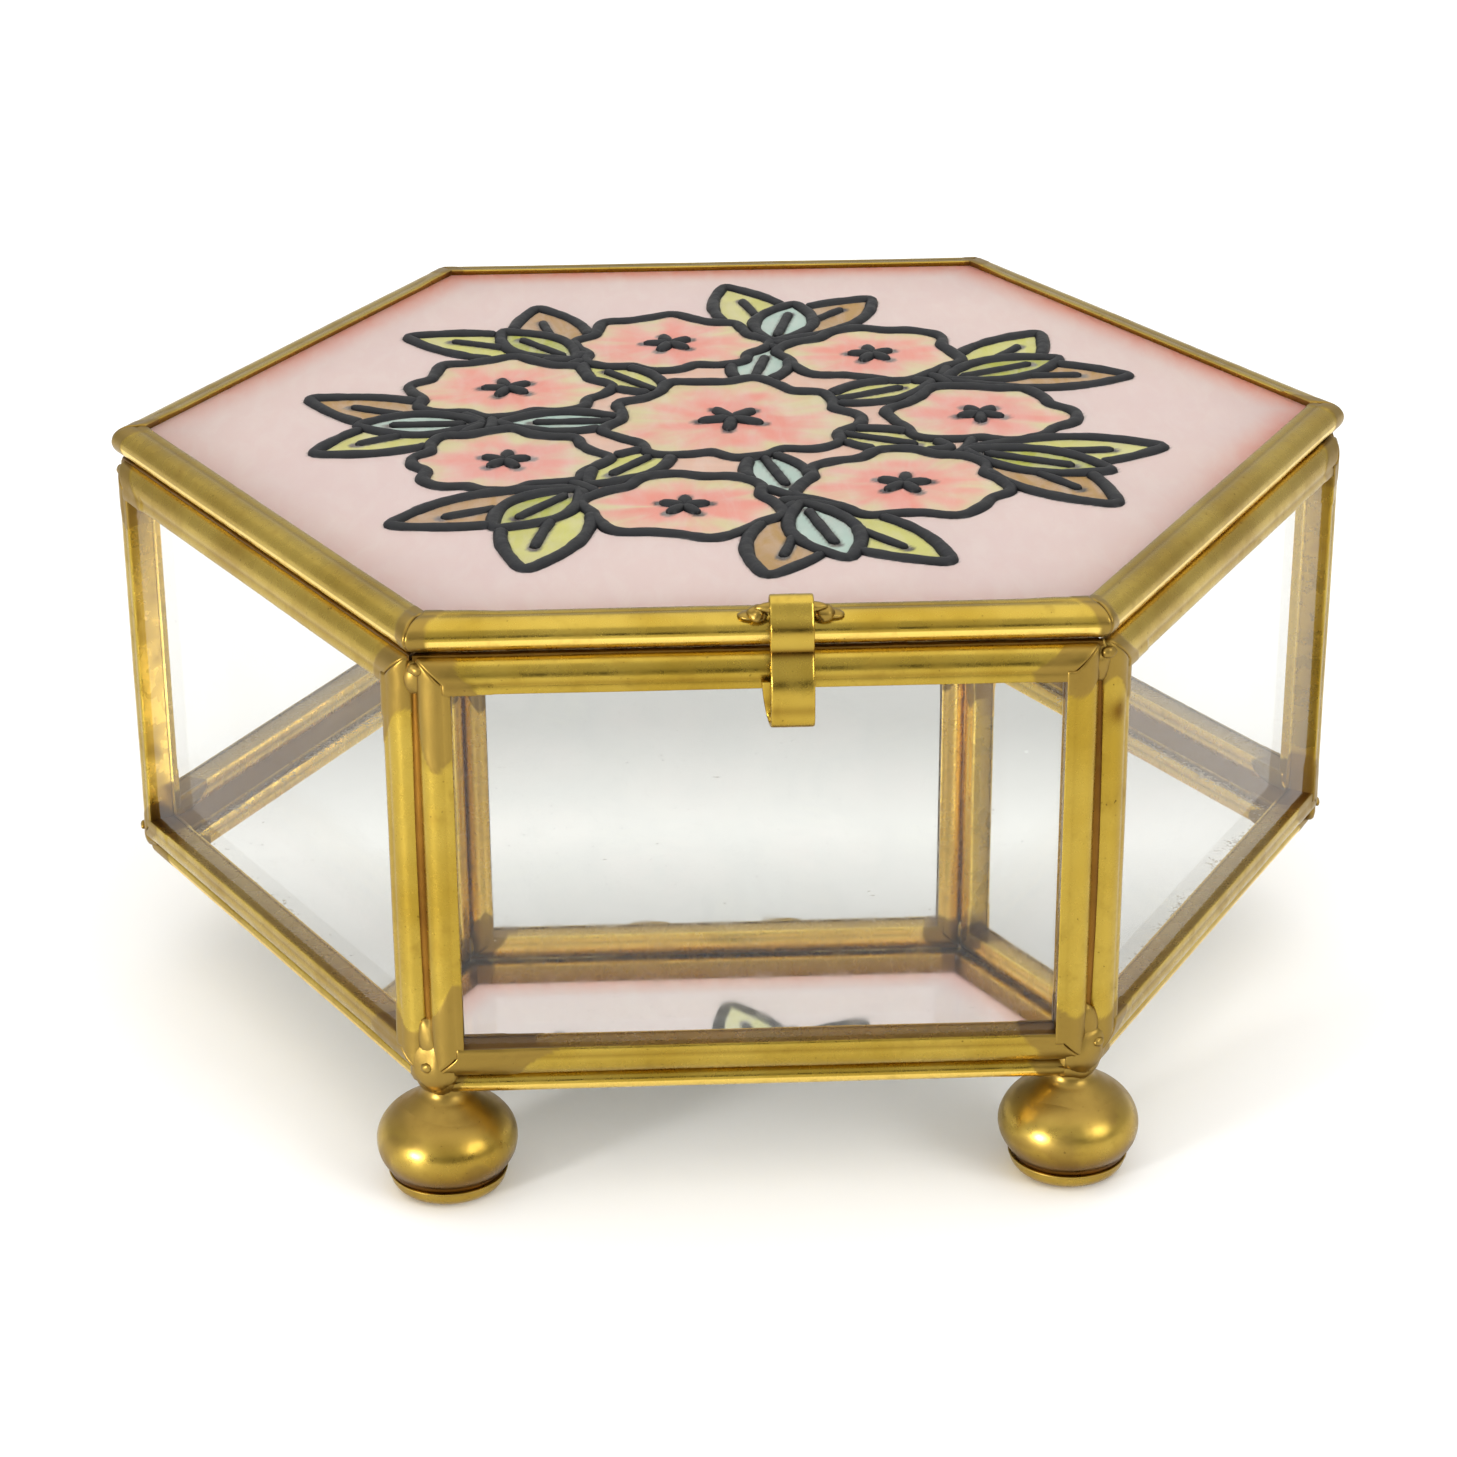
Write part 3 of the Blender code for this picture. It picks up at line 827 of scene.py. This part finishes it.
def curve_through(points, closed=True, step=0.5):
    """A smooth line through points, with a point about every step millimetres."""
    points = [np.array(p, float) for p in points]
    count = len(points)
    line = []
    spans = count if closed else count - 1
    for i in range(spans):
        if closed:
            p0, p1, p2, p3 = (points[(i + k - 1) % count] for k in range(4))
        else:
            p0, p1 = points[max(i - 1, 0)], points[i]
            p2, p3 = points[i + 1], points[min(i + 2, count - 1)]
        pieces = max(2, int(np.linalg.norm(p2 - p1) / step))
        for j in range(pieces):
            t = j / pieces
            line.append(
                0.5 * (2 * p1 + (p2 - p0) * t + (2 * p0 - 5 * p1 + 4 * p2 - p3) * t**2
                       + (3 * p1 - p0 - 3 * p2 + p3) * t**3)
            )
    if not closed:
        line.append(points[-1])
    return np.array(line)


def ruffled(centre, radii, lobes, phase, depth=0.07, squeeze=0.1):
    """The wavy edge of a blossom."""
    count = int(math.tau * max(radii) / 0.45)
    angle = np.arange(count) / count * math.tau
    edge = 1 + depth * np.cos(lobes * angle + phase) + squeeze * 0.5 * np.cos(3 * angle + phase * 1.7)
    edge += 0.014 * np.cos((2 * lobes + 1) * angle - phase)
    x, y = radii[0] * edge * np.cos(angle), radii[1] * edge * np.sin(angle)
    return np.stack([centre[0] + x, centre[1] + y], 1)


def inside(points, outline):
    """Which points lie within a closed outline."""
    low, high = outline.min(0), outline.max(0)
    result = np.zeros(len(points), bool)
    near = np.where(((points >= low) & (points <= high)).all(1))[0]
    if not len(near):
        return result
    p = points[near]
    hit = np.zeros(len(near), bool)
    for (ax, ay), (bx, by) in zip(outline, np.roll(outline, -1, 0)):
        if ay == by:
            continue
        crosses = (ay > p[:, 1]) != (by > p[:, 1])
        at = (bx - ax) * (p[:, 1] - ay) / (by - ay) + ax
        hit ^= crosses & (p[:, 0] < at)
    result[near] = hit
    return result


def hexagon_margin(points, apothem):
    """How far points are inside a hexagon with two sides across Y."""
    angles = [math.pi / 2 + i * STEP for i in range(3)]
    reach = [np.abs(points @ np.array([math.cos(a), math.sin(a)])) for a in angles]
    return apothem - np.max(reach, 0)


GROUND = srgb(233, 203, 199)[:3]
RIM = srgb(236, 132, 108)[:3]
CREAM = srgb(222, 208, 142)[:3]
SALMON = srgb(248, 126, 108)[:3]
PEACH = srgb(238, 186, 160)[:3]
LEMON = srgb(208, 206, 88)[:3]
LEAF = srgb(168, 174, 40)[:3]
BROWN = srgb(176, 126, 58)[:3]
TEAL = srgb(170, 204, 192)[:3]
INK = srgb(24, 25, 28)[:3]

FILM_SPACING = 0.42
FILM_APOTHEM = 56.0
FILM_THICKNESS = 0.08
PASTE_SPREAD = 1.22  # how much wider the paste settles than it is laid
OUTLINE = 0.64  # half width of the paste round a shape, as laid
VEIN = 0.5

WREATH_RADIUS = 27.0
WREATH_BLOSSOMS = 7

shapes = []  # (outline, colour, blossom) from the bottom up
strokes = []  # (line, half width, closed, level): a line is hidden by shapes above its level


def polar(radius, angle):
    return np.array([radius * math.cos(angle), radius * math.sin(angle)])


def area(outline, colour, flower=None):
    shapes.append((outline, colour, flower))
    strokes.append((outline, OUTLINE, True, len(shapes)))


def stroke(points, half_width):
    strokes.append((curve_through(points, closed=False), half_width, False, len(shapes)))


def leaf(root, angle, length, half_width, colour, bend=0.0):
    """A pointed leaf from its root, with a vein. bend is how far its tip swings to the left."""
    along, aside = polar(1, angle), polar(1, angle + math.pi / 2)
    shares = [i / 8 for i in range(9)]
    middle = [root + along * length * t + aside * bend * t * t for t in shares]
    swell = [half_width * math.sin(math.pi * t) ** 0.8 if 0 < t < 1 else 0.0 for t in shares]
    left = [spot + aside * wide for spot, wide in zip(middle, swell)]
    right = [spot - aside * wide for spot, wide in zip(middle, swell)]
    area(curve_through(left + right[-2:0:-1]), colour)
    stroke(middle[1:-2], VEIN)


def blossom(centre, radii, lobes, phase):
    """A ruffled blossom with a star of short dark stamens."""
    area(ruffled(centre, radii, lobes, phase), CREAM, (tuple(centre), radii, SALMON, phase))
    reach = 0.3 * min(radii)
    for i in range(5):
        stroke([centre, centre + polar(reach, phase + math.tau * i / 5)], OUTLINE)


def design():
    """A plain wreath laid out by formula: blossoms round one in the middle, with leaves pointing out."""
    rng = random.Random(7)
    turn = math.tau / WREATH_BLOSSOMS
    for i in range(WREATH_BLOSSOMS):
        gap = (i + 0.5) * turn
        for lean, colour in ((-0.32, BROWN), (0.32, LEMON)):
            leaf(polar(WREATH_RADIUS, gap), gap + lean, rng.uniform(19, 23), 4.4, colour, 8 * lean)
        leaf(polar(WREATH_RADIUS, gap), gap, rng.uniform(13, 16), 3.4, TEAL if i % 2 else LEAF)
    area(ruffled((0, 0), (WREATH_RADIUS, WREATH_RADIUS), WREATH_BLOSSOMS, 0.0, 0.03, 0.0), PEACH)
    for i in range(WREATH_BLOSSOMS):
        leaf(polar(11, (i + 0.5) * turn), (i + 0.5) * turn, 14, 3.2, TEAL if i % 2 else LEMON)
    for i in range(WREATH_BLOSSOMS):
        size = rng.uniform(9.6, 11.2)
        lobes = rng.choice((6, 7, 8))
        blossom(polar(WREATH_RADIUS, i * turn), (size, size * 0.92), lobes, rng.uniform(0, 3))
    blossom(polar(0, 0), (13.0, 12.4), 9, 0.8)


def kept_runs(points, closed, level):
    """The parts of a line that no later shape covers and that lie inside the lid's opening."""
    shown = hexagon_margin(points, LID_OPENING - 0.6) > 0
    for outline, _, _ in shapes[level:]:
        shown &= ~inside(points, outline)
    if shown.all():
        return [(points, closed)]
    if closed:
        start = int(np.argmin(shown))
        points, shown = np.roll(points, -start, 0), np.roll(shown, -start)
    runs, current = [], []
    for point, ok in zip(points, shown):
        if ok:
            current.append(point)
        elif current:
            runs.append(np.array(current))
            current = []
    if current:
        runs.append(np.array(current))
    return [(run, False) for run in runs if len(run) > 3]


def ridge(points, half_width, closed, seed):
    """A rounded bead of paste along a line on the paint, as points and faces."""
    section_steps = 6
    base = LID_GLASS_TOP + 0.06
    count = len(points)
    made, faces = [], []
    lengths = np.r_[0, np.cumsum(np.linalg.norm(np.diff(points, axis=0), axis=1))]
    total = lengths[-1]
    for i, point in enumerate(points):
        before, after = points[(i - 1) % count], points[(i + 1) % count]
        if not closed:
            before, after = points[max(i - 1, 0)], points[min(i + 1, count - 1)]
        along = after - before
        along = along / max(np.linalg.norm(along), 1e-6)
        aside = np.array([-along[1], along[0]])
        swell = 1 + 0.2 * wave(point[0] * 0.4, point[1] * 0.4, seed * 0.3)
        swell += 0.1 * wave(point[0], point[1], seed)
        width = half_width * swell
        if not closed:
            from_end = min(lengths[i], total - lengths[i])
            width *= math.sqrt(min(1.0, (from_end + 0.06) / half_width / 0.9))
        tall = 0.34 + 0.6 * width
        for k in range(section_steps + 1):
            angle = math.pi * k / section_steps
            spot = point + aside * width * math.cos(angle)
            made.append((spot[0], spot[1], base + tall * 0.75 * math.sin(angle)))
    ring = section_steps + 1
    spans = count if closed else count - 1
    for i in range(spans):
        j = (i + 1) % count
        for k in range(section_steps):
            a, b = i * ring + k, j * ring + k
            faces.append((a, b, b + 1, a + 1))
        faces.append((j * ring, i * ring, i * ring + section_steps, j * ring + section_steps))
    if not closed:
        faces.append(list(range(ring)))
        faces.append([(count - 1) * ring + k for k in range(ring)][::-1])
    return made, faces


def build_picture():
    design()
    parts, dark = [], []
    for number, (points, width, closed, level) in enumerate(strokes):
        for run, ring in kept_runs(points, closed, level):
            parts.append(ridge(run, width * PASTE_SPREAD, ring, number))
            dark.append(run)
    points, faces = joined(parts)
    mesh = mesh_from("outline_paste", points, faces, 60)
    piece("lid_outlines", mesh, LINER, "lid")
    build_film(np.concatenate(dark))


def build_film(dark):
    """One thin film over the glass, coloured by the shapes, with the paste's ink showing from below."""
    radius = FILM_APOTHEM / math.cos(STEP / 2)
    rows = int(2 * FILM_APOTHEM / FILM_SPACING) + 1
    columns = int(2 * radius / FILM_SPACING) + 1
    ys = np.linspace(-FILM_APOTHEM, FILM_APOTHEM, rows)
    points = []
    grid = np.full((rows, columns), -1)
    for r, y in enumerate(ys):
        half = radius - abs(y) * math.tan(STEP / 2)
        xs = np.linspace(-half, half, columns)
        grid[r] = np.arange(len(points), len(points) + columns)
        points += [(x, y) for x in xs]
    flat = np.array(points)
    margin = hexagon_margin(flat, FILM_APOTHEM)
    rim = (1 - smooth_step(margin, 0.8, 6.5))[:, None]
    side = 0.15 + 0.85 * smooth_step(flat[:, 1] + 0.6 * np.maximum(flat[:, 0], 0), -12, 34)[:, None]
    colour = np.array(GROUND) * (1 - rim * side) + np.array(RIM) * rim * side
    for outline, fill, flower in shapes:
        hit = inside(flat, outline)
        if not hit.any():
            continue
        if flower is None:
            tone = 1 + 0.1 * np.array([wave(x * 0.25, y * 0.6, 3) for x, y in flat[hit]])
            colour[hit] = np.array(fill) * tone[:, None]
            continue
        (cx, cy), (rx, ry), inner, phase = flower
        local = (flat[hit] - (cx, cy)) / (rx, ry)
        reach = np.hypot(local[:, 0], local[:, 1])
        angle = np.arctan2(local[:, 1], local[:, 0])
        streak = np.array([wave(a * 3.1 + phase * 5, r * 0.9, cx) for a, r in zip(angle, reach)])
        fine = np.array([wave(a * 11 + phase, r * 2.2, cy) for a, r in zip(angle, reach)])
        patch = np.array([wave(x * 0.3, y * 0.45, phase * 3) for x, y in flat[hit]])
        spread = reach + 0.3 * streak + 0.12 * fine + 0.35 * patch
        blush = (1 - smooth_step(spread, 0.5, 1.2))[:, None]
        heart = 0.9 * (1 - smooth_step(spread, 0.25, 1.0))[:, None]
        tint = np.array(fill) * (1 + 0.08 * fine[:, None])
        tint = tint * (1 - blush) + np.array(PEACH) * blush
        colour[hit] = tint * (1 - heart) + np.array(inner) * heart
    tree = kdtree.KDTree(len(dark))
    for i, (x, y) in enumerate(dark):
        tree.insert((x, y, 0), i)
    tree.balance()
    nearest = np.array([tree.find((x, y, 0))[2] for x, y in flat])
    ink = (1 - smooth_step(nearest, 0.6, 0.95))[:, None]
    colour = colour * (1 - ink) + np.array(INK) * ink
    top = LID_GLASS_TOP + 0.1
    faces = []
    for r in range(rows - 1):
        a, b = grid[r, :-1], grid[r, 1:]
        c, d = grid[r + 1, 1:], grid[r + 1, :-1]
        faces += np.stack([a, b, c, d], 1).tolist()
    solid = np.c_[flat, np.full(len(flat), top)]
    mesh = bpy.data.meshes.new("paint_film")
    mesh.from_pydata((solid * MM).tolist(), [], faces)
    layer = mesh.attributes.new("paint", "FLOAT_COLOR", "POINT")
    opaque = np.c_[np.clip(colour, 0, 1), np.ones(len(colour))]
    layer.data.foreach_set("color", opaque.astype(np.float32).ravel())
    mesh.shade_smooth()
    film = piece("lid_paint", mesh, PAINT, "lid")
    solidify = film.modifiers.new("film", "SOLIDIFY")
    solidify.thickness = FILM_THICKNESS * MM
    solidify.offset = -1
    film.data.materials.append(BACKING)
    solidify.material_offset = 1
    solidify.material_offset_rim = 1


# ---------------------------------------------------------------- studio


# Height in the world's sphere, from below to above, and brightness: a bright band shows in the mirror
WORLD_STOPS = [(0.0, 0.6), (0.3, 0.56), (0.405, 0.54), (0.432, 0.86), (0.458, 0.54)]
WORLD_STOPS += [(0.62, 0.62), (1.0, 0.74)]
FLAG_RADIUS, FLAG_LOW, FLAG_HIGH, FLAG_SPREAD = 1.25, 0.004, 0.3, 150

CAMERA_PLACE = Vector((-16.57, -381.55, 195.70))
CAMERA_TURN = (0.042, 0.420, -0.006)  # to the right, down and about the view, in radians
CAMERA_LENS = 92.13


def build_studio():
    """A pale floor, a dark curved flag in front for the brass to mirror, a graded world and lamps."""
    plane = bpy.data.meshes.new("floor")
    shape = bmesh.new()
    bmesh.ops.create_circle(shape, cap_ends=True, segments=96, radius=1.7)
    shape.to_mesh(plane)
    shape.free()
    floor = placed("floor", plane)
    clothe(floor, floor_white())

    flag_mesh = bpy.data.meshes.new("flag")
    points, faces = [], []
    for i in range(25):
        angle = math.radians(-90 - FLAG_SPREAD / 2 + FLAG_SPREAD * i / 24)
        for height in (FLAG_LOW, FLAG_HIGH):
            points.append((FLAG_RADIUS * math.cos(angle), FLAG_RADIUS * math.sin(angle), height))
    for i in range(24):
        faces.append((2 * i, 2 * i + 2, 2 * i + 3, 2 * i + 1))
    flag_mesh.from_pydata(points, [], faces)
    flag = placed("flag", flag_mesh)
    s = Shade("flag_black")
    clothe(flag, s.finish(s.principled(base_color=srgb(34, 32, 28), roughness=0.9).outputs[0]))
    flag.visible_camera = False
    flag.visible_shadow = False

    world = bpy.data.worlds.new("studio")
    bpy.context.scene.world = world
    world.use_nodes = True
    tree = world.node_tree
    background = tree.nodes["Background"]
    background.inputs["Strength"].default_value = 1.25
    coordinate = tree.nodes.new("ShaderNodeTexCoord")
    split = tree.nodes.new("ShaderNodeSeparateXYZ")
    ramp = tree.nodes.new("ShaderNodeValToRGB")
    tree.links.new(coordinate.outputs["Generated"], split.inputs[0])
    tree.links.new(split.outputs["Z"], ramp.inputs[0])
    tree.links.new(ramp.outputs[0], background.inputs["Color"])
    elements = ramp.color_ramp.elements
    elements[0].position, elements[1].position = WORLD_STOPS[0][0], WORLD_STOPS[-1][0]
    for position, _ in WORLD_STOPS[1:-1]:
        elements.new(position)
    for element, (position, level) in zip(elements, WORLD_STOPS):
        element.color = (level, level, level * 0.985, 1)

    aim = Vector((0, 0, 0.04))

    def lamp(name, place, size, power):
        data = bpy.data.lights.new(name, "AREA")
        data.shape = "RECTANGLE"
        data.size, data.size_y = size
        data.energy = power
        obj = placed(name, data)
        obj.location = place
        obj.rotation_euler = (aim - Vector(place)).to_track_quat("-Z", "Y").to_euler()

    lamp("top", (0.0, 0.1, 1.3), (2.4, 2.2), 14)
    lamp("left", (-0.85, -0.75, 0.16), (0.17, 0.16), 11)
    lamp("right", (0.75, -0.7, 0.55), (0.5, 0.4), 4)


def build_camera():
    """A long lens from in front and above, a little to the left, turned slightly to the right."""
    data = bpy.data.cameras.new("camera")
    data.sensor_width = 36
    data.lens = CAMERA_LENS
    data.clip_start, data.clip_end = 0.01, 20
    camera = placed("camera", data)
    yaw, pitch, roll = CAMERA_TURN
    level = math.cos(pitch)
    forward = Vector((math.sin(yaw) * level, math.cos(yaw) * level, -math.sin(pitch)))
    right = Vector((math.cos(yaw), -math.sin(yaw), 0))
    up = right.cross(forward)
    right, up = (
        right * math.cos(roll) + up * math.sin(roll),
        up * math.cos(roll) - right * math.sin(roll),
    )
    turn = Matrix((right, up, -forward)).transposed().to_4x4()
    camera.matrix_world = Matrix.Translation(CAMERA_PLACE * MM) @ turn
    bpy.context.scene.camera = camera
    bpy.context.scene.view_settings.view_transform = "Standard"


build_camera()
build_studio()
build_wall_frames()
build_ring("base_rail", THIN_CAME, BASE_APOTHEM, BASE_MIDDLE, "box", BASE_SOLDER, 70)
build_ring("lid_rail", LID_CAME, LID_APOTHEM, LID_MIDDLE, "lid", LID_SOLDER, 80)
build_corner_solder()
build_strips()
build_feet()
build_hinge()
build_clasp()
clothe(nodes["base_mirror"], MIRROR)
clothe(nodes["lid_glass"], LID_GLASS)
build_picture()
